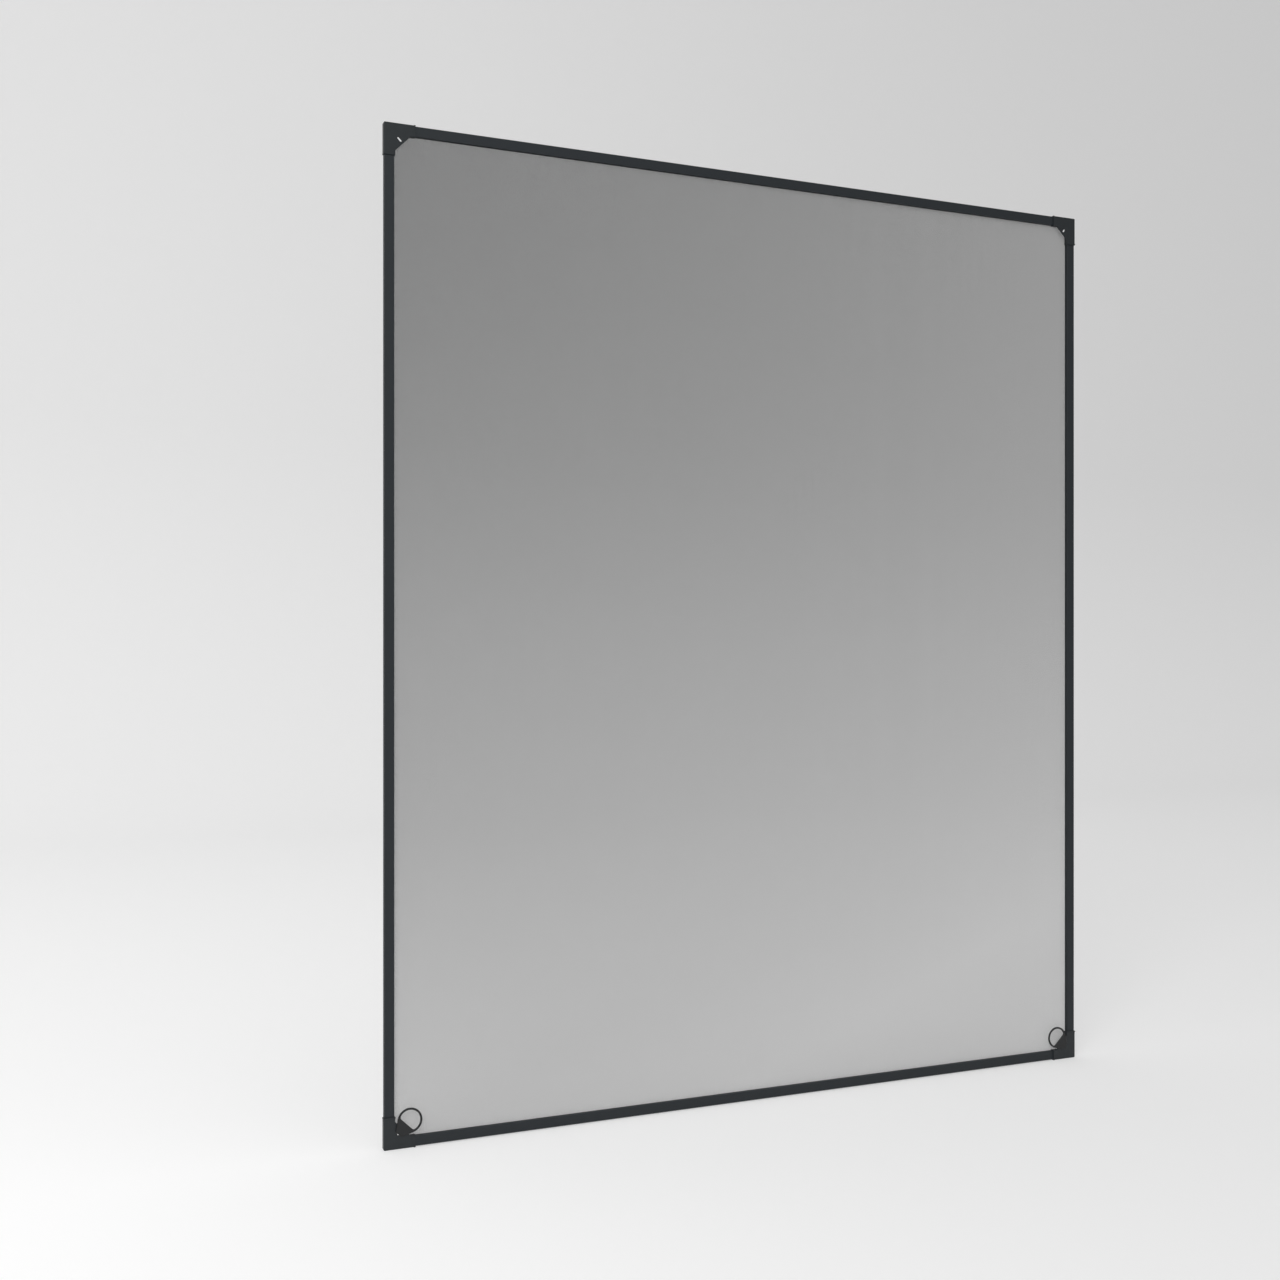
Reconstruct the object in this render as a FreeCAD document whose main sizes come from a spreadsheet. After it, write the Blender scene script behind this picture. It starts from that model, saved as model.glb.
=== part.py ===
import FreeCAD, Part
import math
import os
import Sketcher

# Insect screen for a window: four aluminium profiles joined by moulded corner pieces, a mesh pressed
# into a groove at the back with a round spline, magnetic strips that hold the screen to the window
# frame, and two soft pull rings at the lower corners. X runs to the right, Y into the window, Z up.

DIMENSIONS = [
    ("frame_width", 1000.0, "over the outer edges of the upright profiles"),
    ("frame_height", 1200.0, "over the outer edges of the level profiles"),
    ("face_width", 12.0, "visible width of a profile"),
    ("profile_depth", 6.0, "from the front face to the back face of a profile"),
    ("front_wall", 1.0, "wall behind the visible face"),
    ("side_wall", 1.0, "outer wall of a profile"),
    ("lip_wall", 1.2, "inner wall of a profile, on which the mesh lies"),
    ("divider_wall", 1.1, "wall between the chamber and the spline groove"),
    ("groove_width", 3.6, "opening of the spline groove"),
    ("seat_setback", 0.8, "from the plane on which the mesh lies to the back face"),
    ("channel_depth", 1.5, "depth of the channel for the magnetic strip"),
    ("channel_web", 0.8, "wall between the channel and the chamber"),
    ("channel_lip", 0.4, "how far each lip reaches over the magnetic strip"),
    ("channel_lip_wall", 0.5, "thickness of those lips"),
    ("edge_radius", 0.5, "rounding along the front edges of a profile"),
    ("core_length", 14.0, "solid part of a corner piece, where the profiles stop"),
    ("leg_length", 37.0, "leg of a corner piece from the outer edges of the frame"),
    ("sleeve_wall", 0.8, "wall of the sleeve that is pushed over a profile"),
    ("bead_width", 1.8, "raised rim round the mouth of a sleeve"),
    ("bead_height", 0.3, "how far that rim stands out"),
    ("corner_radius", 1.5, "rounding of the outer corner"),
    ("corner_edge_radius", 0.4, "rounding round the face of a corner piece"),
    ("tenon_length", 18.0, "tongue of a corner piece inside the chamber"),
    ("tenon_gap", 0.1, "clearance between the tongue and the chamber"),
    ("tenon_chamfer", 0.6, "lead-in at the tip of the tongue"),
    ("gusset_leg", 18.8, "gusset along each leg, from the inner corner"),
    ("gusset_thickness", 1.6, "plate of the gusset"),
    ("slot_length", 6.6, "slot through the gusset, along the bisector"),
    ("slot_width", 2.4, "width of that slot"),
    ("slot_margin", 2.6, "from the slot to the slanted edge of the gusset"),
    ("core_recess_depth", 4.4, "hollow moulded into the back of the corner"),
    ("core_recess_wall", 1.4, "wall round that hollow"),
    ("core_rib", 1.2, "rib across that hollow, along the bisector"),
    ("mesh_thickness", 0.3, "sheet that stands for the woven mesh"),
    ("mesh_tuck", 3.4, "from the slanted cut of the mesh to the edge of the gusset before it"),
    ("cell_size", 98.5, "largest spacing of the openings that stand for the holes of the real mesh"),
    ("band_width", 28.0, "bands left between two openings"),
    ("thread_pitch", 8.0, "spacing of the ridges on a band, coarser than the threads of the real mesh"),
    ("thread_width", 0.6, "width of a ridge"),
    ("thread_height", 0.15, "height of a ridge"),
    ("spline_gap", 0.1, "clearance round the spline in the lined groove"),
    ("magnet_proud", 0.3, "how far a magnetic strip stands out behind the profile"),
    ("magnet_gap", 0.1, "clearance beside a magnetic strip"),
    ("magnet_end_gap", 0.5, "from the end of a magnetic strip to the corner piece"),
    ("ring_radius", 14.8, "outer radius of a pull ring"),
    ("ring_wall", 2.4, "width of the loop"),
    ("ring_thickness", 2.0, "thickness of the loop"),
    ("ring_reach", 17.8, "from the middle of the peg to the middle of the loop"),
    ("ring_chord", 5.6, "from the middle of the loop to the straight side of its hole"),
    ("ring_twist", -2.4, "degrees that this straight side is turned, off square to the tab"),
    ("left_ring_slide", 0.4, "from the middle of the slot to the middle of the peg, on the left"),
    ("left_ring_lean", 3.5, "degrees that the soft loop on the left leans off the bisector"),
    ("right_ring_slide", 1.2, "place of the peg in the slot on the right"),
    ("right_ring_lean", 1.7, "lean of the loop on the right"),
    ("ring_edge_chamfer", 0.5, "chamfer all round the loop and the tab"),
    ("ring_hole_radius", 3.0, "rounding where the straight side meets the round one"),
    ("tab_tip_width", 9.6, "end of the tab, over the slot"),
    ("tab_margin", 0.5, "from the peg to the tip of the tab"),
    ("tab_radius", 2.0, "rounding at the corners of that end"),
    ("peg_length", 4.0, "peg through the slot, along the slot"),
    ("peg_gap", 0.15, "clearance between the peg and the slot"),
    ("barb_overhang", 0.6, "how far the barb reaches past the slot on each side"),
    ("barb_height", 1.9, "height of the barb behind the gusset"),
    ("barb_chamfer", 0.7, "lead-in of the barb"),
    ("barb_gap", 0.1, "clearance between the gusset and the barb"),
]

doc = FreeCAD.newDocument("InsectScreen")
sheet = doc.addObject("Spreadsheet::Sheet", "Sizes")
for row, (alias, value, meaning) in enumerate(DIMENSIONS, start=1):
    sheet.set(f"A{row}", alias)
    sheet.set(f"B{row}", str(value))
    sheet.setAlias(f"B{row}", alias)
    sheet.set(f"C{row}", meaning)
doc.recompute()

# Places across a profile, measured from its outer edge, and through it, measured from its front face
GROOVE_INNER = "(Sizes.face_width - Sizes.lip_wall)"
GROOVE_OUTER = f"({GROOVE_INNER} - Sizes.groove_width)"
CHAMBER_INNER = f"({GROOVE_OUTER} - Sizes.divider_wall)"
CHANNEL_FLOOR = "(Sizes.profile_depth - Sizes.channel_depth)"
CHAMBER_BACK = f"({CHANNEL_FLOOR} - Sizes.channel_web)"
LIP_FLOOR = "(Sizes.profile_depth - Sizes.channel_lip_wall)"
SEAT_DEPTH = "(Sizes.profile_depth - Sizes.seat_setback)"

# Places in a corner, measured from the outer edges of the frame
SLEEVE_INNER = "(Sizes.face_width + Sizes.sleeve_wall)"
GUSSET_SUM = f"(2 * {SLEEVE_INNER} + Sizes.gusset_leg)"
SLOT_MIDDLE = f"({GUSSET_SUM} / sqrt(2) - Sizes.slot_margin - Sizes.slot_length / 2)"
MESH_SUM = f"({GUSSET_SUM} - Sizes.mesh_tuck * sqrt(2))"
HEM_START = f"({MESH_SUM} - {GROOVE_OUTER})"

# Place of the whole frame: the origin is under the middle of everything
FRONT_REACH = "(Sizes.sleeve_wall + Sizes.ring_thickness)"
BACK_REACH = "(Sizes.profile_depth + Sizes.magnet_proud)"
FACE_Y = f"(({FRONT_REACH} - {BACK_REACH}) / 2)"
LOWER_EDGE = "(Sizes.sleeve_wall + Sizes.bead_height)"

# The corners, each a quarter turn about Y from the one before
CORNERS = {
    "bottom_left": ("-Sizes.frame_width / 2", LOWER_EDGE),
    "top_left": ("-Sizes.frame_width / 2", f"{LOWER_EDGE} + Sizes.frame_height"),
    "top_right": ("Sizes.frame_width / 2", f"{LOWER_EDGE} + Sizes.frame_height"),
    "bottom_right": ("Sizes.frame_width / 2", LOWER_EDGE),
}
# Each profile starts at a corner: its name, that corner, and its length over the outer edges
SIDES = [
    ("left", "bottom_left", "Sizes.frame_height"),
    ("top", "top_left", "Sizes.frame_width"),
    ("right", "top_right", "Sizes.frame_height"),
    ("bottom", "bottom_right", "Sizes.frame_width"),
]


def number(alias):
    """The value of one driving dimension."""
    return float(sheet.get(alias))


def new_body(label):
    body = doc.addObject("PartDesign::Body", label)
    body.Label = label
    return body


def place(body, corner, turn=None, depth="0", along="0"):
    """Puts a body at a corner of the frame, turned with it, and moved along the bisector."""
    quarter = list(CORNERS).index(corner)
    x, z = CORNERS[corner]
    side_x = 1 if corner.endswith("left") else -1
    side_z = 1 if corner.startswith("bottom") else -1
    rotation = FreeCAD.Rotation(FreeCAD.Vector(0, 1, 0), 90 * quarter)
    if turn is not None:
        rotation = rotation.multiply(turn)
    body.Placement = FreeCAD.Placement(FreeCAD.Vector(0, 0, 0), rotation)
    body.setExpression("Placement.Base.x", f"{x} + {side_x} * {along} / sqrt(2)")
    body.setExpression("Placement.Base.y", f"{FACE_Y} + {depth}")
    body.setExpression("Placement.Base.z", f"{z} + {side_z} * {along} / sqrt(2)")


def new_sketch(body, name, plane="XY_Plane", height=None, angle=None, middle=None):
    """A sketch on one of the body's own planes, lifted along its normal, or turned and moved on it."""
    sketch = body.newObject("Sketcher::SketchObject", f"{body.Name}_{name}")
    sketch.AttachmentSupport = own(body, plane)
    sketch.MapMode = "FlatFace"
    if angle is not None:
        sketch.AttachmentOffset = FreeCAD.Placement(
            FreeCAD.Vector(0, 0, 0), FreeCAD.Rotation(FreeCAD.Vector(0, 0, 1), 45))
        sketch.setExpression("AttachmentOffset.Rotation.Angle", angle)
    if middle is not None:
        sketch.setExpression("AttachmentOffset.Base.x", middle[0])
        sketch.setExpression("AttachmentOffset.Base.y", middle[1])
    if height is not None:
        sketch.setExpression("AttachmentOffset.Base.z", height)
    return sketch


def bind(sketch, kind, *references, value):
    """Adds a dimension to a sketch and ties it to an expression."""
    index = sketch.addConstraint(Sketcher.Constraint(kind, *references, 1.0))
    sketch.setExpression(f"Constraints[{index}]", value)


def outline(sketch, points):
    """A closed outline of straight lines through points given as pairs of expressions."""
    first = len(sketch.Geometry)
    count = len(points)
    ring = [FreeCAD.Vector(math.cos(2 * math.pi * i / count), math.sin(2 * math.pi * i / count), 0)
            for i in range(count)]
    for i in range(count):
        sketch.addGeometry(Part.LineSegment(ring[i], ring[(i + 1) % count]), False)
    for i in range(count):
        sketch.addConstraint(
            Sketcher.Constraint("Coincident", first + i, 2, first + (i + 1) % count, 1))
    for i, (x, y) in enumerate(points):
        bind(sketch, "DistanceX", -1, 1, first + i, 1, value=x)
        bind(sketch, "DistanceY", -1, 1, first + i, 1, value=y)


def rectangle(sketch, low, high):
    outline(sketch, [low, (high[0], low[1]), high, (low[0], high[1])])


def circle(sketch, x, y, radius):
    index = sketch.addGeometry(Part.Circle(FreeCAD.Vector(0, 0, 0), FreeCAD.Vector(0, 0, 1), 1), False)
    bind(sketch, "DistanceX", -1, 1, index, 3, value=x)
    bind(sketch, "DistanceY", -1, 1, index, 3, value=y)
    bind(sketch, "Radius", index, value=radius)


def stadium(sketch, x, length, width):
    """A slot's outline: its middle lies on the sketch's first axis, at x, and it runs along it."""
    start, end, bottom, top = [len(sketch.Geometry) + i for i in range(4)]
    axis = FreeCAD.Vector(0, 0, 1)
    for middle, low, high in ((-2, 90, 270), (2, -90, 90)):
        sketch.addGeometry(Part.ArcOfCircle(Part.Circle(FreeCAD.Vector(middle, 0, 0), axis, 1),
                                            math.radians(low), math.radians(high)), False)
    for y in (-1, 1):
        sketch.addGeometry(Part.LineSegment(FreeCAD.Vector(-2, y, 0), FreeCAD.Vector(2, y, 0)), False)
    sketch.addConstraint(Sketcher.Constraint("Tangent", bottom, 1, start, 2))
    sketch.addConstraint(Sketcher.Constraint("Tangent", bottom, 2, end, 1))
    sketch.addConstraint(Sketcher.Constraint("Tangent", top, 1, start, 1))
    sketch.addConstraint(Sketcher.Constraint("Tangent", top, 2, end, 2))
    sketch.addConstraint(Sketcher.Constraint("PointOnObject", start, 3, -1))
    sketch.addConstraint(Sketcher.Constraint("PointOnObject", end, 3, -1))
    bind(sketch, "DistanceX", -1, 1, start, 3, value=f"{x} - ({length} - {width}) / 2")
    bind(sketch, "DistanceX", -1, 1, end, 3, value=f"{x} + ({length} - {width}) / 2")
    bind(sketch, "Radius", start, value=f"{width} / 2")
    sketch.addConstraint(Sketcher.Constraint("Equal", start, end))


def pad(body, sketch, length, symmetric=False, reversed_side=False):
    feature = body.newObject("PartDesign::Pad", f"{sketch.Name}_pad")
    feature.Profile = sketch
    feature.setExpression("Length", length)
    feature.Midplane = symmetric
    feature.Reversed = reversed_side
    return feature


def pocket(body, sketch, depth, reversed_side=True):
    """Cuts the sketch into the body, and checks that it took material away."""
    before = body.Tip
    feature = body.newObject("PartDesign::Pocket", f"{sketch.Name}_pocket")
    feature.Profile = sketch
    feature.setExpression("Length", depth)
    feature.Reversed = reversed_side
    doc.recompute()
    if feature.Shape.Volume >= before.Shape.Volume:
        raise RuntimeError(f"{feature.Name} cuts nothing")
    return feature


def soften(body, kind, size, chosen):
    """Fillets or chamfers the edges of the body's last feature that pass a test."""
    doc.recompute()
    base = body.Tip
    names = [f"Edge{i}" for i, edge in enumerate(base.Shape.Edges, start=1) if chosen(edge)]
    if not names:
        raise RuntimeError(f"{body.Label} has no edge to soften by {size}")
    feature = body.newObject(f"PartDesign::{kind}", f"{base.Name}_{kind.lower()}")
    feature.Base = (base, names)
    feature.setExpression("Radius" if kind == "Fillet" else "Size", size)
    return feature


def near(a, b):
    return abs(a - b) < 1e-4


def is_upright_at(edge, *places):
    """Whether an edge is straight, along the body's Z, and at one of the places."""
    first, last = edge.Vertexes[0].Point, edge.Vertexes[-1].Point
    if not (near(first.x, last.x) and near(first.y, last.y)):
        return False
    return any(near(first.x, x) and near(first.y, y) for x, y in places)


def is_level_at(edge, height):
    """Whether an edge lies at one height, at right angles to the body's Z."""
    box = edge.BoundBox
    return near(box.ZMin, height) and near(box.ZMax, height)


def is_upright_within(edge, distance):
    """Whether an edge is straight, along the body's Z, and nearer to it than the distance."""
    first, last = edge.Vertexes[0].Point, edge.Vertexes[-1].Point
    upright = near(first.x, last.x) and near(first.y, last.y) and not near(first.z, last.z)
    return upright and math.hypot(first.x, first.y) < distance


def is_tenon_tip(edge, tip):
    """Whether an edge bounds the end face of a tongue, inside a sleeve."""
    box = edge.BoundBox
    inside = box.ZMin > 0.01 and box.ZMax < number("profile_depth") - 0.01
    on_tip_x = near(box.XMin, tip) and near(box.XMax, tip)
    on_tip_y = near(box.YMin, tip) and near(box.YMax, tip)
    return inside and (on_tip_x or on_tip_y)


def own(body, role):
    """One of the body's own planes or axes, as a feature refers to it."""
    return next(f for f in body.Origin.OriginFeatures if f.Role == role), [""]


def mirror(body, feature, plane):
    """Repeats one feature on the other side of one of the body's own planes."""
    copy = body.newObject("PartDesign::Mirrored", f"{feature.Name}_mirrored")
    copy.Originals = [feature]
    copy.MirrorPlane = own(body, plane)
    body.Tip = copy
    return copy


def repeat(body, feature, axis, count, pitch):
    """Repeats one feature along one of the body's own axes."""
    copy = body.newObject("PartDesign::LinearPattern", f"{feature.Name}_row")
    copy.Originals = [feature]
    copy.Direction = own(body, axis)
    copy.Mode = "Spacing"
    copy.setExpression("Offset", pitch)
    copy.setExpression("Occurrences", count)
    copy.Refine = False
    body.Tip = copy
    return copy


# Profiles: extruded aluminium, cut square. The chamber takes the tongues of the corner pieces, the
# groove takes the mesh and its spline, and the channel behind the chamber takes the magnetic strip.
def make_profile(label, corner, side_length):
    body = new_body(label)
    section = new_sketch(body, "section", height="Sizes.core_length")
    outline(section, [
        ("0", "0"),
        ("Sizes.face_width", "0"),
        ("Sizes.face_width", SEAT_DEPTH),
        (GROOVE_INNER, SEAT_DEPTH),
        (GROOVE_INNER, "Sizes.front_wall"),
        (GROOVE_OUTER, "Sizes.front_wall"),
        (GROOVE_OUTER, "Sizes.profile_depth"),
        (f"{CHAMBER_INNER} - Sizes.channel_lip", "Sizes.profile_depth"),
        (f"{CHAMBER_INNER} - Sizes.channel_lip", LIP_FLOOR),
        (CHAMBER_INNER, LIP_FLOOR),
        (CHAMBER_INNER, CHANNEL_FLOOR),
        ("Sizes.side_wall", CHANNEL_FLOOR),
        ("Sizes.side_wall", LIP_FLOOR),
        ("Sizes.side_wall + Sizes.channel_lip", LIP_FLOOR),
        ("Sizes.side_wall + Sizes.channel_lip", "Sizes.profile_depth"),
        ("0", "Sizes.profile_depth"),
    ])
    rectangle(section, ("Sizes.side_wall", "Sizes.front_wall"), (CHAMBER_INNER, CHAMBER_BACK))
    pad(body, section, f"{side_length} - 2 * Sizes.core_length")
    front_edges = ((0, 0), (number("face_width"), 0))
    soften(body, "Fillet", "Sizes.edge_radius", lambda edge: is_upright_at(edge, *front_edges))
    place(body, corner)
    return body


# Magnetic strips: flexible strip with a foot that the lips of the channel hold
def make_magnet(label, corner, side_length):
    body = new_body(label)
    start = "(Sizes.core_length + Sizes.magnet_end_gap)"
    section = new_sketch(body, "section", height=start)
    low, high = "(Sizes.side_wall + Sizes.magnet_gap)", f"({CHAMBER_INNER} - Sizes.magnet_gap)"
    outline(section, [
        (low, CHANNEL_FLOOR),
        (high, CHANNEL_FLOOR),
        (high, LIP_FLOOR),
        (f"{high} - Sizes.channel_lip", LIP_FLOOR),
        (f"{high} - Sizes.channel_lip", BACK_REACH),
        (f"{low} + Sizes.channel_lip", BACK_REACH),
        (f"{low} + Sizes.channel_lip", LIP_FLOOR),
        (low, LIP_FLOOR),
    ])
    pad(body, section, f"{side_length} - 2 * {start}")
    place(body, corner)
    return body


# Splines: round cord that presses the hem of the mesh into the groove
def make_spline(label, corner, side_length):
    body = new_body(label)
    section = new_sketch(body, "section", height=HEM_START)
    radius = "((Sizes.groove_width - Sizes.spline_gap) / 2 - Sizes.mesh_thickness)"
    circle(section, f"({GROOVE_INNER} + {GROOVE_OUTER}) / 2",
           f"Sizes.front_wall + Sizes.mesh_thickness + Sizes.spline_gap / 2 + {radius}", radius)
    pad(body, section, f"{side_length} - 2 * {HEM_START}")
    place(body, corner)
    return body


# Corner pieces: moulded, modelled on their back, with the face up. Two sleeves with tongues take the
# profiles, and a slotted gusset fills the inner corner.
def make_corner(label, corner):
    body = new_body(label)
    edge = "-Sizes.sleeve_wall"
    gusset_end = f"({GUSSET_SUM} - {SLEEVE_INNER})"
    face = "(Sizes.profile_depth + Sizes.sleeve_wall)"

    plan = new_sketch(body, "plan")
    outline(plan, [
        (edge, edge),
        ("Sizes.leg_length", edge),
        ("Sizes.leg_length", SLEEVE_INNER),
        (gusset_end, SLEEVE_INNER),
        (SLEEVE_INNER, gusset_end),
        (SLEEVE_INNER, "Sizes.leg_length"),
        (edge, "Sizes.leg_length"),
    ])
    pad(body, plan, face)
    outer = -number("sleeve_wall")
    soften(body, "Fillet", "Sizes.corner_radius", lambda e: is_upright_at(e, (outer, outer)))
    face_height = number("profile_depth") + number("sleeve_wall")
    soften(body, "Fillet", "Sizes.corner_edge_radius", lambda e: is_level_at(e, face_height))

    rims = new_sketch(body, "rims")
    rim_start = "Sizes.leg_length - Sizes.bead_width"
    rim_low = f"{edge} - Sizes.bead_height"
    rim_high = f"{SLEEVE_INNER} + Sizes.bead_height"
    rectangle(rims, (rim_start, rim_low), ("Sizes.leg_length", rim_high))
    rectangle(rims, (rim_low, rim_start), (rim_high, "Sizes.leg_length"))
    pad(body, rims, f"{face} + Sizes.bead_height")

    behind_gusset = new_sketch(body, "behind_gusset")
    past_gusset = f"{gusset_end} + Sizes.gusset_thickness"
    outline(behind_gusset, [
        (SLEEVE_INNER, SLEEVE_INNER),
        (past_gusset, SLEEVE_INNER),
        (SLEEVE_INNER, past_gusset),
    ])
    pocket(body, behind_gusset, f"{face} - Sizes.gusset_thickness")

    past_leg = "Sizes.leg_length + Sizes.bead_width"
    sockets = new_sketch(body, "sockets")
    rectangle(sockets, ("Sizes.core_length", "0"), (past_leg, "Sizes.face_width"))
    rectangle(sockets, ("0", "Sizes.core_length"), ("Sizes.face_width", past_leg))
    pocket(body, sockets, "Sizes.profile_depth")

    mesh_relief = new_sketch(body, "mesh_relief")
    past_rim = f"{SLEEVE_INNER} + 2 * Sizes.bead_height"
    rectangle(mesh_relief, ("Sizes.core_length", "Sizes.face_width"), (past_leg, past_rim))
    rectangle(mesh_relief, ("Sizes.face_width", "Sizes.core_length"), (past_rim, past_leg))
    pocket(body, mesh_relief, "Sizes.seat_setback")

    tenon_low = "Sizes.side_wall + Sizes.tenon_gap"
    tenon_high = f"{CHAMBER_INNER} - Sizes.tenon_gap"
    tenon_end = "Sizes.core_length + Sizes.tenon_length"
    tenons = new_sketch(body, "tenons", height=f"Sizes.profile_depth - {CHAMBER_BACK} + Sizes.tenon_gap")
    rectangle(tenons, ("Sizes.core_length", tenon_low), (tenon_end, tenon_high))
    rectangle(tenons, (tenon_low, "Sizes.core_length"), (tenon_high, tenon_end))
    pad(body, tenons, f"{CHAMBER_BACK} - Sizes.front_wall - 2 * Sizes.tenon_gap")
    tip = number("core_length") + number("tenon_length")
    soften(body, "Chamfer", "Sizes.tenon_chamfer", lambda e: is_tenon_tip(e, tip))

    slot = new_sketch(body, "slot", angle="45")
    stadium(slot, SLOT_MIDDLE, "Sizes.slot_length", "Sizes.slot_width")
    pocket(body, slot, face)

    recess = new_sketch(body, "recess")
    low = "(Sizes.core_recess_wall - Sizes.sleeve_wall)"
    high = "(Sizes.core_length - Sizes.core_recess_wall - Sizes.sleeve_wall)"
    rib = "Sizes.core_rib / sqrt(2)"
    outline(recess, [(f"{low} + {rib}", low), (high, low), (high, f"{high} - {rib}")])
    outline(recess, [(low, f"{low} + {rib}"), (f"{high} - {rib}", high), (low, high)])
    pocket(body, recess, "Sizes.core_recess_depth")

    on_its_back = FreeCAD.Rotation(FreeCAD.Vector(1, 0, 0), 90)
    place(body, corner, turn=on_its_back, depth="Sizes.profile_depth")
    return body


# Pull rings: a soft flat loop with a straight-sided hole, and a tab whose barbed peg is pushed through
# the slot of the gusset. Modelled from the middle of the slot, with the loop along the first axis.
def make_ring(label, corner, side_name):
    body = new_body(label)
    lean, slide = f"Sizes.{side_name}_ring_lean", f"Sizes.{side_name}_ring_slide"
    middle = f"({slide} + Sizes.ring_reach)"
    reach, radius = number(f"{side_name}_ring_slide") + number("ring_reach"), number("ring_radius")

    plate = new_sketch(body, "plate", angle=lean)
    tip = f"({slide} - Sizes.peg_length / 2 - Sizes.tab_margin)"
    sweep = math.radians(120)
    loop = plate.addGeometry(Part.ArcOfCircle(
        Part.Circle(FreeCAD.Vector(reach, 0, 0), FreeCAD.Vector(0, 0, 1), radius), -sweep, sweep), False)
    ends = [FreeCAD.Vector(reach + radius * math.cos(sweep), side * radius * math.sin(sweep), 0)
            for side in (1, -1)]
    tips = [FreeCAD.Vector(0, side * number("tab_tip_width") / 2, 0) for side in (1, -1)]
    upper = plate.addGeometry(Part.LineSegment(ends[0], tips[0]), False)
    across = plate.addGeometry(Part.LineSegment(tips[0], tips[1]), False)
    lower = plate.addGeometry(Part.LineSegment(tips[1], ends[1]), False)
    plate.addConstraint(Sketcher.Constraint("Tangent", loop, 2, upper, 1))
    plate.addConstraint(Sketcher.Constraint("Tangent", lower, 2, loop, 1))
    plate.addConstraint(Sketcher.Constraint("Coincident", upper, 2, across, 1))
    plate.addConstraint(Sketcher.Constraint("Coincident", across, 2, lower, 1))
    plate.addConstraint(Sketcher.Constraint("PointOnObject", loop, 3, -1))
    bind(plate, "DistanceX", -1, 1, loop, 3, value=middle)
    bind(plate, "Radius", loop, value="Sizes.ring_radius")
    for corner_line, sign in ((across, ""), (lower, "-")):
        bind(plate, "DistanceX", -1, 1, corner_line, 1, value=tip)
        bind(plate, "DistanceY", -1, 1, corner_line, 1, value=f"{sign}Sizes.tab_tip_width / 2")
    pad(body, plate, "Sizes.ring_thickness")
    soften(body, "Fillet", "Sizes.tab_radius", lambda e: is_upright_within(e, reach / 2))

    hole = new_sketch(body, "hole", angle=f"{lean} + Sizes.ring_twist",
                      middle=(f"{middle} * cos({lean})", f"{middle} * sin({lean})"))
    hole_radius = radius - number("ring_wall")
    half_angle = math.acos(-number("ring_chord") / hole_radius)
    arc = hole.addGeometry(Part.ArcOfCircle(
        Part.Circle(FreeCAD.Vector(0, 0, 0), FreeCAD.Vector(0, 0, 1), hole_radius),
        -half_angle, half_angle), False)
    ends = [FreeCAD.Vector(hole_radius * math.cos(half_angle), side * hole_radius * math.sin(half_angle), 0)
            for side in (1, -1)]
    straight = hole.addGeometry(Part.LineSegment(ends[0], ends[1]), False)
    hole.addConstraint(Sketcher.Constraint("Coincident", arc, 2, straight, 1))
    hole.addConstraint(Sketcher.Constraint("Coincident", straight, 2, arc, 1))
    hole.addConstraint(Sketcher.Constraint("Vertical", straight))
    hole.addConstraint(Sketcher.Constraint("Coincident", arc, 3, -1, 1))
    bind(hole, "DistanceX", -1, 1, straight, 1, value="-Sizes.ring_chord")
    bind(hole, "Radius", arc, value="Sizes.ring_radius - Sizes.ring_wall")
    pocket(body, hole, "Sizes.ring_thickness")
    hole_corners = [(hole.Placement.multVec(end).x, hole.Placement.multVec(end).y) for end in ends]
    soften(body, "Fillet", "Sizes.ring_hole_radius", lambda e: is_upright_at(e, *hole_corners))
    faces = (0, number("ring_thickness"))
    soften(body, "Chamfer", "Sizes.ring_edge_chamfer", lambda e: any(is_level_at(e, z) for z in faces))

    peg = new_sketch(body, "peg")
    stadium(peg, slide, "Sizes.peg_length", "(Sizes.slot_width - 2 * Sizes.peg_gap)")
    behind = "(Sizes.gusset_thickness + Sizes.barb_gap)"
    pad(body, peg, behind, reversed_side=True)
    barb = new_sketch(body, "barb", height=f"-{behind}")
    barb_width = "(Sizes.slot_width + 2 * Sizes.barb_overhang)"
    stadium(barb, slide, f"(Sizes.peg_length + {barb_width} - Sizes.slot_width)", barb_width)
    pad(body, barb, "Sizes.barb_height", reversed_side=True)
    barb_end = -(number("gusset_thickness") + number("barb_gap") + number("barb_height"))
    soften(body, "Chamfer", "Sizes.barb_chamfer", lambda e: is_level_at(e, barb_end))

    facing_front = FreeCAD.Rotation(FreeCAD.Vector(1, 0, 0), 90)
    along_bisector = FreeCAD.Rotation(FreeCAD.Vector(0, 0, 1), 45)
    place(body, corner, turn=facing_front.multiply(along_bisector), depth="-Sizes.sleeve_wall",
          along=SLOT_MIDDLE)
    return body


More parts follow.
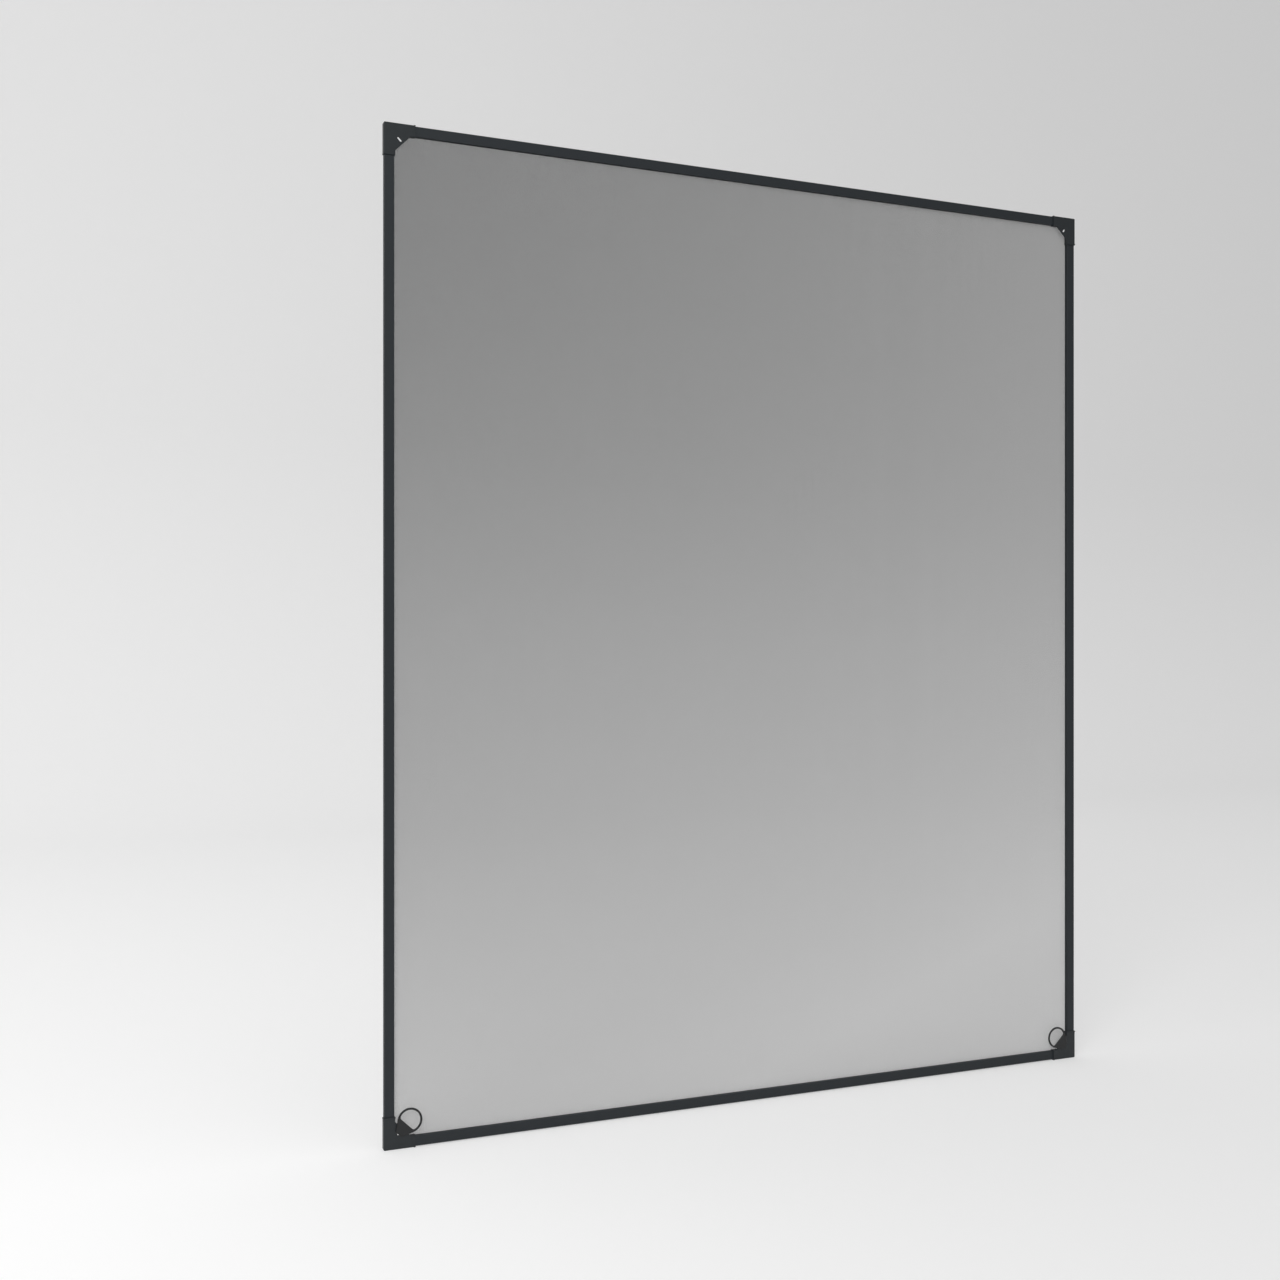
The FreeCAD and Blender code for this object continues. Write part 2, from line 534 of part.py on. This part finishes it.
# Mesh: woven coated glass yarn, here one thin sheet with a plain grid of openings, upright ridges in
# front and level ridges behind. Its corners are cut slanted behind the gussets, and each side is
# turned into the groove.
def make_mesh(label):
    body = new_body(label)
    half_width, half_height = "Sizes.frame_width / 2", "Sizes.frame_height / 2"
    hem_inner = f"({GROOVE_INNER} - Sizes.mesh_thickness)"
    back = f"({SEAT_DEPTH} + Sizes.mesh_thickness)"

    sheet_plan = new_sketch(body, "plan", plane="XZ_Plane", height=f"-{back}")
    side, end = f"({half_width} - {hem_inner})", f"({half_height} - {hem_inner})"
    short_side = f"({half_width} + {hem_inner} - {MESH_SUM})"
    short_end = f"({half_height} + {hem_inner} - {MESH_SUM})"
    outline(sheet_plan, [
        (f"-{short_side}", f"-{end}"), (short_side, f"-{end}"),
        (side, f"-{short_end}"), (side, short_end),
        (short_side, end), (f"-{short_side}", end),
        (f"-{side}", short_end), (f"-{side}", f"-{short_end}"),
    ])
    pad(body, sheet_plan, "Sizes.mesh_thickness")

    def hem(name, plane, half_across, half_along, other_plane):
        """A side of the sheet, turned down into the groove, across its floor and up again."""
        profile = new_sketch(body, name, plane=plane)
        floor = "Sizes.front_wall"
        points = [
            (hem_inner, back),
            (hem_inner, f"{floor} + Sizes.mesh_thickness"),
            (f"{GROOVE_OUTER} + Sizes.mesh_thickness", f"{floor} + Sizes.mesh_thickness"),
            (f"{GROOVE_OUTER} + Sizes.mesh_thickness", SEAT_DEPTH),
            (GROOVE_OUTER, SEAT_DEPTH),
            (GROOVE_OUTER, floor),
            (GROOVE_INNER, floor),
            (GROOVE_INNER, back),
        ]
        placed = [(f"-{half_across} + {u}", v) for u, v in points]
        if plane == "YZ_Plane":
            placed = [(v, u) for u, v in placed]
        outline(profile, placed)
        feature = pad(body, profile, f"2 * ({half_along} - {HEM_START})", symmetric=True)
        mirror(body, feature, other_plane)

    hem("side_hem", "XY_Plane", half_width, half_height, "YZ_Plane")
    hem("end_hem", "YZ_Plane", half_height, half_width, "XY_Plane")

    def cells(full):
        """How many openings fit side by side, and their spacing."""
        free = f"(Sizes.{full} - 2 * Sizes.face_width)"
        count = f"ceil({free} / Sizes.cell_size)"
        return count, f"({free} / {count})"

    columns, column = cells("frame_width")
    rows, row = cells("frame_height")
    first_x, first_z = f"(Sizes.face_width - {half_width})", f"(Sizes.face_width - {half_height})"
    opening = new_sketch(body, "opening", plane="XZ_Plane", height=f"-{back}")
    band = "Sizes.band_width / 2"
    rectangle(opening, (f"{first_x} + {band}", f"{first_z} + {band}"),
              (f"{first_x} + {column} - {band}", f"{first_z} + {row} - {band}"))
    grid = repeat(body, pocket(body, opening, "Sizes.mesh_thickness"), "X_Axis", columns, column)
    grid.Direction2 = own(body, "Z_Axis")
    grid.Mode2 = "Spacing"
    common_spacing = -1
    grid.Spacings2 = [common_spacing]
    grid.setExpression("Offset2", row)
    grid.setExpression("Occurrences2", rows)

    def ridge_row(name, plane, axis, base, tip, first, count, spacing, half_along):
        """Ridges of triangular section on each band, from one end of the free mesh to the other."""
        ridge = new_sketch(body, name, plane=plane)
        half = "Sizes.thread_width / 2"
        for step in (-1, 0, 1):
            middle = f"{first} + {spacing} + {step} * Sizes.thread_pitch"
            points = [(f"{middle} - {half}", base), (f"{middle} + {half}", base), (middle, tip)]
            if plane == "YZ_Plane":
                points = [(across, through) for through, across in points]
            outline(ridge, points)
        feature = pad(body, ridge, f"2 * ({half_along} - Sizes.face_width)", symmetric=True)
        repeat(body, feature, axis, f"{count} - 1", spacing)

    ridge_row("upright", "XY_Plane", "X_Axis", SEAT_DEPTH, f"{SEAT_DEPTH} - Sizes.thread_height",
              first_x, columns, column, half_height)
    ridge_row("level", "YZ_Plane", "Z_Axis", back, f"{back} + Sizes.thread_height",
              first_z, rows, row, half_width)

    body.setExpression("Placement.Base.y", FACE_Y)
    body.setExpression("Placement.Base.z", f"{LOWER_EDGE} + Sizes.frame_height / 2")
    return body


bodies = []
for side_name, start_corner, length in SIDES:
    profile_name = f"{side_name}_{'stile' if side_name in ('left', 'right') else 'rail'}"
    bodies.append(make_profile(profile_name, start_corner, length))
    bodies.append(make_magnet(f"magnet_{side_name}", start_corner, length))
    bodies.append(make_spline(f"spline_{side_name}", start_corner, length))
for corner_name in CORNERS:
    bodies.append(make_corner(f"corner_{corner_name}", corner_name))
for ring_side in ("left", "right"):
    bodies.append(make_ring(f"pull_ring_{ring_side}", f"bottom_{ring_side}", ring_side))
bodies.append(make_mesh("insect_mesh"))
doc.recompute()

for item in doc.Objects:
    if "Invalid" in item.State or "Error" in item.State:
        raise RuntimeError(f"{item.Label} failed: {item.State}")
    if item.TypeId == "Sketcher::SketchObject" and not item.FullyConstrained:
        raise RuntimeError(f"{item.Label} isn't fully constrained")
for body in bodies:
    if body.Shape.isNull() or not body.Shape.isValid() or len(body.Shape.Solids) != 1:
        raise RuntimeError(f"{body.Label} isn't one valid solid")

os.makedirs("parts", exist_ok=True)
for body in bodies:
    body.Shape.exportStep(f"parts/{body.Label}.step")
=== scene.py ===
import math

import bpy
import numpy as np
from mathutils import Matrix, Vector


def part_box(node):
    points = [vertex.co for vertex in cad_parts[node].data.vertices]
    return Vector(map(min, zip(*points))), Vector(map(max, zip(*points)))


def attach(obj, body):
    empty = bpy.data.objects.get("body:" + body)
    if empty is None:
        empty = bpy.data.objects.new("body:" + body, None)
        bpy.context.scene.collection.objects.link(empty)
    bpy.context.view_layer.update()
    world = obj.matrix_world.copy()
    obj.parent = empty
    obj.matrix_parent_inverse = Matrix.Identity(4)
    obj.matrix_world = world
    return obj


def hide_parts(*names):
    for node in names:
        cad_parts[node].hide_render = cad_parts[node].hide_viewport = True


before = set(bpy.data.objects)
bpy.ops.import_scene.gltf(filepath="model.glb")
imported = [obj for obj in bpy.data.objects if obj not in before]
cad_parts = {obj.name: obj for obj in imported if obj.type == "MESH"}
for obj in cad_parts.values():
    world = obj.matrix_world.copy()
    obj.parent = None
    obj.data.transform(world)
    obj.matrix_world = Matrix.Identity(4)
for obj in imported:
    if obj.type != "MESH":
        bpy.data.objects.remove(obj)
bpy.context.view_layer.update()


# Profiles: four lengths of extruded 6060 aluminium, cut square, with an anthracite powder coat. The
# polyester powder is baked on with a fine texture, so the faces look matt, with a soft broken sheen.
PROFILES = ["left_stile", "top_rail", "right_stile", "bottom_rail"]
COATING_HEX = "#141A1F"
COATING_SPECK_HEX = "#1D2429"
COATING_ROUGHNESS = 0.55
COATING_IOR = 1.5
# Real texture grains are about 0.3 mm wide: drawn coarser, so that they show.
TEXTURE_MM = 0.8
TEXTURE_RELIEF_MM = 0.08
ROUGHNESS_SPREAD = 0.1
MM = 0.001
# A Mix node keeps its share, its two colours and its mixed colour at these places.
MIX_SHARE, MIX_FIRST, MIX_SECOND, MIX_RESULT = 0, 6, 7, 2


def linear(hex_colour):
    """An sRGB hex colour as linear red, green, blue and alpha, by the curve of the sRGB standard."""
    parts = [int(hex_colour[i:i + 2], 16) / 255 for i in (1, 3, 5)]
    return [c / 12.92 if c <= 0.04045 else ((c + 0.055) / 1.055) ** 2.4 for c in parts] + [1.0]


def add(owner, kind, inputs=(), **settings):
    """Adds a shader node to a material or world. An input takes another node's output, or a value."""
    tree = owner.node_tree
    node = tree.nodes.new(f"ShaderNode{kind}")
    for name, value in settings.items():
        setattr(node, name, value)
    for name, value in dict(inputs).items():
        if isinstance(value, bpy.types.NodeSocket):
            tree.links.new(value, node.inputs[name])
        else:
            node.inputs[name].default_value = value
    return node


def new_material(name):
    """An empty material, and the object's own coordinates in it, in metres."""
    material = bpy.data.materials.new(name)
    material.use_nodes = True
    material.node_tree.nodes.clear()
    return material, add(material, "TexCoord").outputs["Object"]


def finish_surface(material, share, dark_hex, pale_hex, roughness, ior, height, relief_mm):
    """A dyed or coated surface: its colour from dark to pale by a share, its sheen broken by a relief."""
    colour = add(material, "Mix", {MIX_SHARE: share, MIX_FIRST: linear(dark_hex),
                                   MIX_SECOND: linear(pale_hex)}, data_type="RGBA")
    relief = add(material, "Bump", {"Height": height, "Distance": relief_mm * MM})
    sheen = add(material, "MapRange", {"Value": height, "To Min": roughness - ROUGHNESS_SPREAD,
                                       "To Max": roughness + ROUGHNESS_SPREAD})
    shader = add(material, "BsdfPrincipled", {"Base Color": colour.outputs[MIX_RESULT], "IOR": ior,
                                              "Roughness": sheen.outputs["Result"],
                                              "Normal": relief.outputs["Normal"]})
    add(material, "OutputMaterial", {"Surface": shader.outputs["BSDF"]})


def dress(names, material):
    """Gives CAD nodes their material."""
    for name in names:
        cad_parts[name].material_slots[0].material = material


coat, place = new_material("fine_texture_polyester_powder_coat")
grains = add(coat, "TexNoise", {"Vector": place, "Scale": 1 / (TEXTURE_MM * MM)}).outputs["Fac"]
finish_surface(coat, grains, COATING_HEX, COATING_SPECK_HEX, COATING_ROUGHNESS, COATING_IOR,
               grains, TEXTURE_RELIEF_MM)
dress(PROFILES, coat)


# Corner pieces: four injection mouldings in glass-filled polyamide, dyed through. Their sleeves are
# pushed over the ends of the profiles. A spark-eroded mould gives them a dull grain, finer than the
# powder coat, and the melt leaves faint paler clouds, so the joint between the two stays visible.
CORNERS = ["corner_bottom_left", "corner_top_left", "corner_top_right", "corner_bottom_right"]
POLYAMIDE_HEX = "#13191D"
POLYAMIDE_CLOUD_HEX = "#1B2226"
POLYAMIDE_ROUGHNESS = 0.5
POLYAMIDE_IOR = 1.53
# A real spark-eroded grain is under 0.1 mm wide: drawn coarser, so that it shows.
GRAIN_MM = 0.5
GRAIN_RELIEF_MM = 0.03
CLOUD_MM = 9.0

polyamide, place = new_material("spark_grained_glass_filled_polyamide")
grain = add(polyamide, "TexNoise", {"Vector": place, "Scale": 1 / (GRAIN_MM * MM)}).outputs["Fac"]
clouds = add(polyamide, "TexNoise", {"Vector": place, "Scale": 1 / (CLOUD_MM * MM)}).outputs["Fac"]
finish_surface(polyamide, clouds, POLYAMIDE_HEX, POLYAMIDE_CLOUD_HEX, POLYAMIDE_ROUGHNESS, POLYAMIDE_IOR,
               grain, GRAIN_RELIEF_MM)
dress(CORNERS, polyamide)


# Mesh: glass yarn coated with charcoal PVC, woven and heat-set, so the threads are fused where they
# cross. Its edges are folded into the groove at the back of each profile, and its corners cut slanted.
# The coating has a dull sheen. Its colour is painted paler low down and to the right, as painted light.
YARN_HEX = "#202223"
PAINTED_LIGHT_HEX = "#DADADA"
# The share of painted light at the right edge, and the share added at the lower edge, which falls with
# height.
PAINTED_LIGHT_RIGHT, PAINTED_LIGHT_LOW = 0.48, 0.80
PAINTED_LIGHT_POWER = 2.0
YARN_ROUGHNESS = 0.6
PVC_IOR = 1.53
TWIST_MM = 1.2
TWIST_RELIEF_MM = 0.04
# The threads are too fine to count. These hide as much behind the mesh as the photograph shows.
PITCH = 0.8 * MM
THREAD_WIDTH = 0.32 * MM
UPRIGHT_LAYER = (0.0, 0.2 * MM)
LEVEL_LAYER = (0.1 * MM, 0.3 * MM)
# The depth of the mesh behind the face of the frame, and the groove's walls, from the frame's edge.
SEAT_DEPTH = 5.2 * MM
GROOVE_OUTER = 7.2 * MM
GROOVE_INNER = 10.8 * MM
# Along the slanted cut of a corner, the distances from both edges of the frame add up to this.
CUT_SUM = 39.6 * MM
HEM_START = CUT_SUM - GROOVE_OUTER

left_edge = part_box("left_stile")[0].x
right_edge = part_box("right_stile")[1].x
low_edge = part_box("bottom_rail")[0].z
high_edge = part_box("top_rail")[1].z
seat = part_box("left_stile")[0].y + SEAT_DEPTH
groove_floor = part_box("insect_mesh")[0].y


def band(sections):
    """A closed band along a row of four-cornered sections: its points and its faces."""
    last = 4 * (len(sections) - 1)
    quads = [[start + k, start + (k + 1) % 4, start + 4 + (k + 1) % 4, start + 4 + k]
             for start in range(0, last, 4) for k in range(4)]
    quads += [[3, 2, 1, 0], [last, last + 1, last + 2, last + 3]]
    return np.asarray(sections, float).reshape(-1, 3), np.array(quads)


def beside(places, points, quads):
    """Copies of one band, side by side at the places."""
    moved = np.repeat(points[None], len(places), axis=0)
    moved[..., 0] += np.asarray(places)[:, None]
    faces = quads[None] + len(points) * np.arange(len(places))[:, None, None]
    return moved.reshape(-1, 3), faces.reshape(-1, 4)


def hem_path(offset):
    """From the end of the fold to the free mesh: distance from the edge of the frame, and depth."""
    return [(GROOVE_OUTER + offset, seat), (GROOVE_OUTER + offset, groove_floor + offset),
            (GROOVE_INNER - offset, groove_floor + offset), (GROOVE_INNER - offset, seat + offset)]


def crossing_thread(front_path, back_path, low, high):
    """A thread right across the mesh, from the paths of its front and back face at one end."""
    half = THREAD_WIDTH / 2
    front, back = [[(low + a, y) for a, y in path] + [(high - a, y) for a, y in path[::-1]]
                   for path in (front_path, back_path)]
    return band([[(-half, y0, z0), (half, y0, z0), (half, y1, z1), (-half, y1, z1)]
                 for (z0, y0), (z1, y1) in zip(front, back)])


def fold_thread(inside, depth, wall, edge, inward, layer, along):
    """A thread that runs along the groove, on one of its walls or on its floor."""
    corners = [(layer[0], -THREAD_WIDTH / 2), (layer[0], THREAD_WIDTH / 2),
               (layer[1], THREAD_WIDTH / 2), (layer[1], -THREAD_WIDTH / 2)]
    if wall:
        section = [(edge + inward * (inside + wall * o), depth + s) for o, s in corners]
    else:
        section = [(edge + inward * (inside + s), depth + o) for o, s in corners]
    return band([[(x, y, z) for x, y in section] for z in along])


def family(low, high, across_low, across_high, layer):
    """All threads of one direction, from low to high, side by side between the across values."""
    reach = int((across_high - across_low - 2 * GROOVE_INNER) / 2 / PITCH)
    places = (across_low + across_high) / 2 + PITCH * np.arange(-reach, reach + 1)
    inset = np.minimum(places - across_low, across_high - places)
    # Threads well inside are hemmed at both ends. Those near a corner end at its slanted cut.
    hemmed = crossing_thread(hem_path(layer[0]), hem_path(layer[1]), low, high)
    made = [beside(places[inset > HEM_START], *hemmed)]
    for x, distance in zip(places[inset <= HEM_START], inset[inset <= HEM_START]):
        start = max(CUT_SUM - distance, GROOVE_INNER)
        front, back = [[(start, seat + offset)] for offset in layer]
        made.append(beside([x], *crossing_thread(front, back, low, high)))
    along = [low + HEM_START, high - HEM_START]
    folds = [(inside, groove_floor, 0) for inside in np.arange(GROOVE_OUTER + PITCH / 2, GROOVE_INNER, PITCH)]
    for depth in np.arange(seat - PITCH / 2, groove_floor + PITCH / 2, -PITCH):
        folds += [(GROOVE_OUTER, depth, 1), (GROOVE_INNER, depth, -1)]
    for fold in folds:
        made.append(fold_thread(*fold, across_low, 1, layer, along))
        made.append(fold_thread(*fold, across_high, -1, layer, along))
    return made


def turned_outward(points, faces):
    """The same faces, turned so that they look out of the closed surface."""
    a, b, c, d = [points[faces[:, k]] - points.mean(axis=0) for k in range(4)]
    volume = np.einsum("ij,ij->", a, np.cross(b, c) + np.cross(c, d))
    return faces if volume > 0 else faces[:, ::-1]


upright_threads = family(low_edge, high_edge, left_edge, right_edge, UPRIGHT_LAYER)
level_threads = [(points[:, [2, 1, 0]], faces)
                 for points, faces in family(left_edge, right_edge, low_edge, high_edge, LEVEL_LAYER)]
threads = upright_threads + level_threads
first_points = np.cumsum([0] + [len(points) for points, _ in threads])
all_faces = [turned_outward(points, faces) + first for (points, faces), first in zip(threads, first_points)]
woven_mesh = bpy.data.meshes.new("woven_mesh")
woven_mesh.from_pydata(np.concatenate([points for points, _ in threads]).tolist(), [],
                       np.concatenate(all_faces).tolist())
woven = bpy.data.objects.new("woven_mesh", woven_mesh)
bpy.context.scene.collection.objects.link(woven)

yarn, place = new_material("pvc_coated_glass_yarn")
twist = add(yarn, "TexNoise", {"Vector": place, "Scale": 1 / (TWIST_MM * MM)}).outputs["Fac"]
axes = add(yarn, "SeparateXYZ", {"Vector": place}).outputs
# Painted light: the yarn's colour turns paler towards the right edge and towards the lower edge.
rightward = add(yarn, "MapRange", {"Value": axes["X"], "From Min": left_edge, "From Max": right_edge,
                                   "To Max": PAINTED_LIGHT_RIGHT}).outputs["Result"]
downward = add(yarn, "MapRange", {"Value": axes["Z"], "From Min": high_edge,
                                  "From Max": low_edge}).outputs["Result"]
low_down = add(yarn, "Math", {0: downward, 1: PAINTED_LIGHT_POWER}, operation="POWER").outputs[0]
painted_light_share = add(yarn, "Math", {0: low_down, 1: PAINTED_LIGHT_LOW, 2: rightward}, operation="MULTIPLY_ADD").outputs[0]
finish_surface(yarn, painted_light_share, YARN_HEX, PAINTED_LIGHT_HEX, YARN_ROUGHNESS, PVC_IOR, twist, TWIST_RELIEF_MM)
woven_mesh.materials.append(yarn)
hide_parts("insect_mesh")
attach(woven, "root")


# Splines: cords of soft black PVC, extruded with fine ribs along them that grip the groove. They are
# rolled in over the mesh and hold its hem down. Their ends are cut square, where the slanted corners
# begin. Soft PVC has a low even gloss.
SPLINE_HEX = "#17181A"
SPLINE_PALE_HEX = "#232527"
SPLINE_ROUGHNESS = 0.45
RIBS = 14
POINTS_PER_RIB = 6
RIB_DEPTH = 0.16 * MM
RIPPLE_MM = 2.5
RIPPLE_RELIEF_MM = 0.03

soft_pvc, place = new_material("extruded_soft_pvc")
ripple = add(soft_pvc, "TexNoise", {"Vector": place, "Scale": 1 / (RIPPLE_MM * MM)}).outputs["Fac"]
finish_surface(soft_pvc, ripple, SPLINE_HEX, SPLINE_PALE_HEX, SPLINE_ROUGHNESS, PVC_IOR,
               ripple, RIPPLE_RELIEF_MM)
for side in ("left", "top", "right", "bottom"):
    low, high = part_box(f"spline_{side}")
    size = high - low
    angles = np.linspace(0, 2 * math.pi, RIBS * POINTS_PER_RIB, endpoint=False)
    radii = size.y / 2 - RIB_DEPTH / 2 * (1 - np.cos(RIBS * angles))
    count = len(angles)
    points = [(r * math.cos(a), r * math.sin(a), end * max(size) / 2)
              for end in (-1, 1) for r, a in zip(radii, angles)]
    faces = [[k, (k + 1) % count, count + (k + 1) % count, count + k] for k in range(count)]
    faces += [list(range(count))[::-1], list(range(count, 2 * count))]
    cord_mesh = bpy.data.meshes.new(f"ribbed_spline_{side}")
    cord_mesh.from_pydata(points, [], faces)
    cord_mesh.materials.append(soft_pvc)
    cord = bpy.data.objects.new(f"ribbed_spline_{side}", cord_mesh)
    cord.location = (low + high) / 2
    if size.x > size.z:
        cord.rotation_euler = (0, math.pi / 2, 0)
    bpy.context.scene.collection.objects.link(cord)
    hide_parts(f"spline_{side}")
    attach(cord, "root")


# Magnetic strips: flexible strips of ferrite powder bound in rubber, extruded and pushed into the
# channel at the back of each profile. The powder gives a dull dark brown with fine lines along the strip.
FERRITE_HEX = "#2C2827"
FERRITE_PALE_HEX = "#3A3533"
FERRITE_ROUGHNESS = 0.75
RUBBER_IOR = 1.52
# Real extrusion lines are about 0.1 mm apart: drawn coarser, so that they show.
LINE_MM = 0.4
LINE_LENGTH_MM = 120
LINE_RELIEF_MM = 0.02
# The mapping sets the size of the lines, so the noise adds no scale of its own.
NO_SCALE = 1.0
ALONG_X, ALONG_Z = 0, 2

for axis, names in ((ALONG_X, ["magnet_top", "magnet_bottom"]), (ALONG_Z, ["magnet_left", "magnet_right"])):
    ferrite, place = new_material("extruded_ferrite_rubber")
    line_scale = [1 / (LINE_MM * MM)] * 3
    line_scale[axis] = 1 / (LINE_LENGTH_MM * MM)
    drawn = add(ferrite, "Mapping", {"Vector": place, "Scale": line_scale}).outputs["Vector"]
    lines = add(ferrite, "TexNoise", {"Vector": drawn, "Scale": NO_SCALE}).outputs["Fac"]
    finish_surface(ferrite, lines, FERRITE_HEX, FERRITE_PALE_HEX, FERRITE_ROUGHNESS, RUBBER_IOR,
                   lines, LINE_RELIEF_MM)
    dress(names, ferrite)


# Pull rings: soft thermoplastic elastomer, moulded in one flat piece with its barbed peg, and pushed
# through the slots of the two lower corners. The skin is near black, smooth and slightly waxy.
RINGS = ["pull_ring_left", "pull_ring_right"]
RING_HEX = "#0F1112"
RING_PALE_HEX = "#17191B"
RING_ROUGHNESS = 0.42
ELASTOMER_IOR = 1.5
SKIN_MM = 2.5
SKIN_RELIEF_MM = 0.04

elastomer, place = new_material("moulded_thermoplastic_elastomer")
skin = add(elastomer, "TexNoise", {"Vector": place, "Scale": 1 / (SKIN_MM * MM)}).outputs["Fac"]
finish_surface(elastomer, skin, RING_HEX, RING_PALE_HEX, RING_ROUGHNESS, ELASTOMER_IOR,
               skin, SKIN_RELIEF_MM)
dress(RINGS, elastomer)


# Background: one sweep of matt paper, from the floor under the screen up behind it. Its colour is a fan
# of painted light and shade about a point in front of the screen, palest on the left. It shows a little
# paler than it is lit, and keeps the shadow of the screen.
PAPER_PAINTED_LIGHT_HEX = "#E2E2E2"
PAPER_PAINTED_SHADE_HEX = "#D2D2D2"
PAPER_LIFT = 0.46
# The fan spreads from here over the floor plan. The spokes of its palest painted light and its darkest
# painted shade are given by the cosine of their angle to the right.
FAN_CENTRE = (-0.9, -1.7)
FAN_PAINTED_LIGHT, FAN_PAINTED_SHADE = 0.0, 0.73
FLOOR_PLAN = (1, 1, 0)
SWEEP_SIDE = 9.0
SWEEP_FRONT, SWEEP_BACK, SWEEP_TOP = -6.0, 3.0, 6.0
BEND_RADIUS = 1.5
BEND_POINTS = 17

bend = [(SWEEP_BACK + math.sin(t) * BEND_RADIUS, BEND_RADIUS * (1 - math.cos(t)))
        for t in np.linspace(0, math.pi / 2, BEND_POINTS)]
line = [(SWEEP_FRONT, 0.0)] + bend + [(SWEEP_BACK + BEND_RADIUS, SWEEP_TOP)]
points = [(x, y, z) for y, z in line for x in (-SWEEP_SIDE, SWEEP_SIDE)]
faces = [(2 * i, 2 * i + 1, 2 * i + 3, 2 * i + 2) for i in range(len(line) - 1)]
sweep_mesh = bpy.data.meshes.new("paper_sweep")
sweep_mesh.from_pydata(points, [], faces)
sweep_mesh.shade_smooth()
sweep = bpy.data.objects.new("paper_sweep", sweep_mesh)
bpy.context.scene.collection.objects.link(sweep)

paper, place = new_material("matt_background_paper")
# Painted light and shade: the paper's colour goes from pale to grey across the fan.
spoke = add(paper, "Mapping", {"Vector": place, "Location": (-FAN_CENTRE[0], -FAN_CENTRE[1], 0),
                               "Scale": FLOOR_PLAN}).outputs["Vector"]
spoke = add(paper, "VectorMath", {0: spoke}, operation="NORMALIZE").outputs["Vector"]
turn = add(paper, "SeparateXYZ", {"Vector": spoke}).outputs["X"]
grade = add(paper, "MapRange", {"Value": turn, "From Min": FAN_PAINTED_LIGHT, "From Max": FAN_PAINTED_SHADE}).outputs["Result"]
painted_light_fan = add(paper, "Mix", {MIX_SHARE: grade, MIX_FIRST: linear(PAPER_PAINTED_LIGHT_HEX),
                          MIX_SECOND: linear(PAPER_PAINTED_SHADE_HEX)}, data_type="RGBA").outputs[MIX_RESULT]
rays = add(paper, "LightPath").outputs
seen = add(paper, "Math", {0: rays["Is Camera Ray"], 1: rays["Is Glossy Ray"]},
           operation="MAXIMUM").outputs[0]
seen = add(paper, "Math", {0: seen, 1: rays["Is Transmission Ray"]}, operation="MAXIMUM").outputs[0]
lift = add(paper, "Math", {0: seen, 1: PAPER_LIFT}, operation="MULTIPLY").outputs[0]
matt = add(paper, "BsdfDiffuse", {"Color": painted_light_fan}).outputs["BSDF"]
lifted = add(paper, "Emission", {"Color": painted_light_fan, "Strength": lift}).outputs["Emission"]
both = add(paper, "AddShader", {0: matt, 1: lifted}).outputs["Shader"]
add(paper, "OutputMaterial", {"Surface": both})
sweep_mesh.materials.append(paper)


# Light: a studio with a bright ceiling and dim walls, so that the upright faces mirror little of it, and
# one large softbox high on the left in front of the screen.
ROOM_HEX = "#FFFFFF"
CEILING_STRENGTH, WALL_STRENGTH = 0.82, 0.22
KEY_PLACE, KEY_TARGET = (-2.2, -2.8, 2.6), (0.0, 0.0, 0.6)
KEY_SIZE, KEY_POWER = 2.0, 66

studio = bpy.data.worlds.new("studio")
studio.use_nodes = True
studio.node_tree.nodes.clear()
sky = add(studio, "TexCoord").outputs["Generated"]
height = add(studio, "SeparateXYZ", {"Vector": sky}).outputs["Z"]
glow = add(studio, "MapRange", {"Value": height, "To Min": WALL_STRENGTH,
                                "To Max": CEILING_STRENGTH}).outputs["Result"]
room = add(studio, "Background", {"Color": linear(ROOM_HEX), "Strength": glow}).outputs["Background"]
add(studio, "OutputWorld", {"Surface": room})
bpy.context.scene.world = studio
key_data = bpy.data.lights.new("key_softbox", "AREA")
key_data.size = KEY_SIZE
key_data.energy = KEY_POWER
key = bpy.data.objects.new("key_softbox", key_data)
key.location = KEY_PLACE
key.rotation_euler = (Vector(KEY_TARGET) - Vector(KEY_PLACE)).to_track_quat("-Z", "Y").to_euler()
bpy.context.scene.collection.objects.link(key)


# Camera: level, left of the screen and at half its height, turned towards it as in the photograph. A
# small shift upwards frames the screen as there.
CAMERA_PLACE = (-0.89193, -1.69078, 0.58941)
CAMERA_LEVEL, CAMERA_TURN = 90, -22.9754
CAMERA_LENS, CAMERA_SENSOR, CAMERA_SHIFT = 41.16, 36.0, 0.0048

lens = bpy.data.cameras.new("camera")
lens.sensor_width = CAMERA_SENSOR
lens.lens = CAMERA_LENS
lens.shift_y = CAMERA_SHIFT
camera = bpy.data.objects.new("camera", lens)
camera.location = CAMERA_PLACE
camera.rotation_euler = (math.radians(CAMERA_LEVEL), 0, math.radians(CAMERA_TURN))
bpy.context.scene.collection.objects.link(camera)
bpy.context.scene.camera = camera
bpy.context.scene.view_settings.view_transform = "Standard"
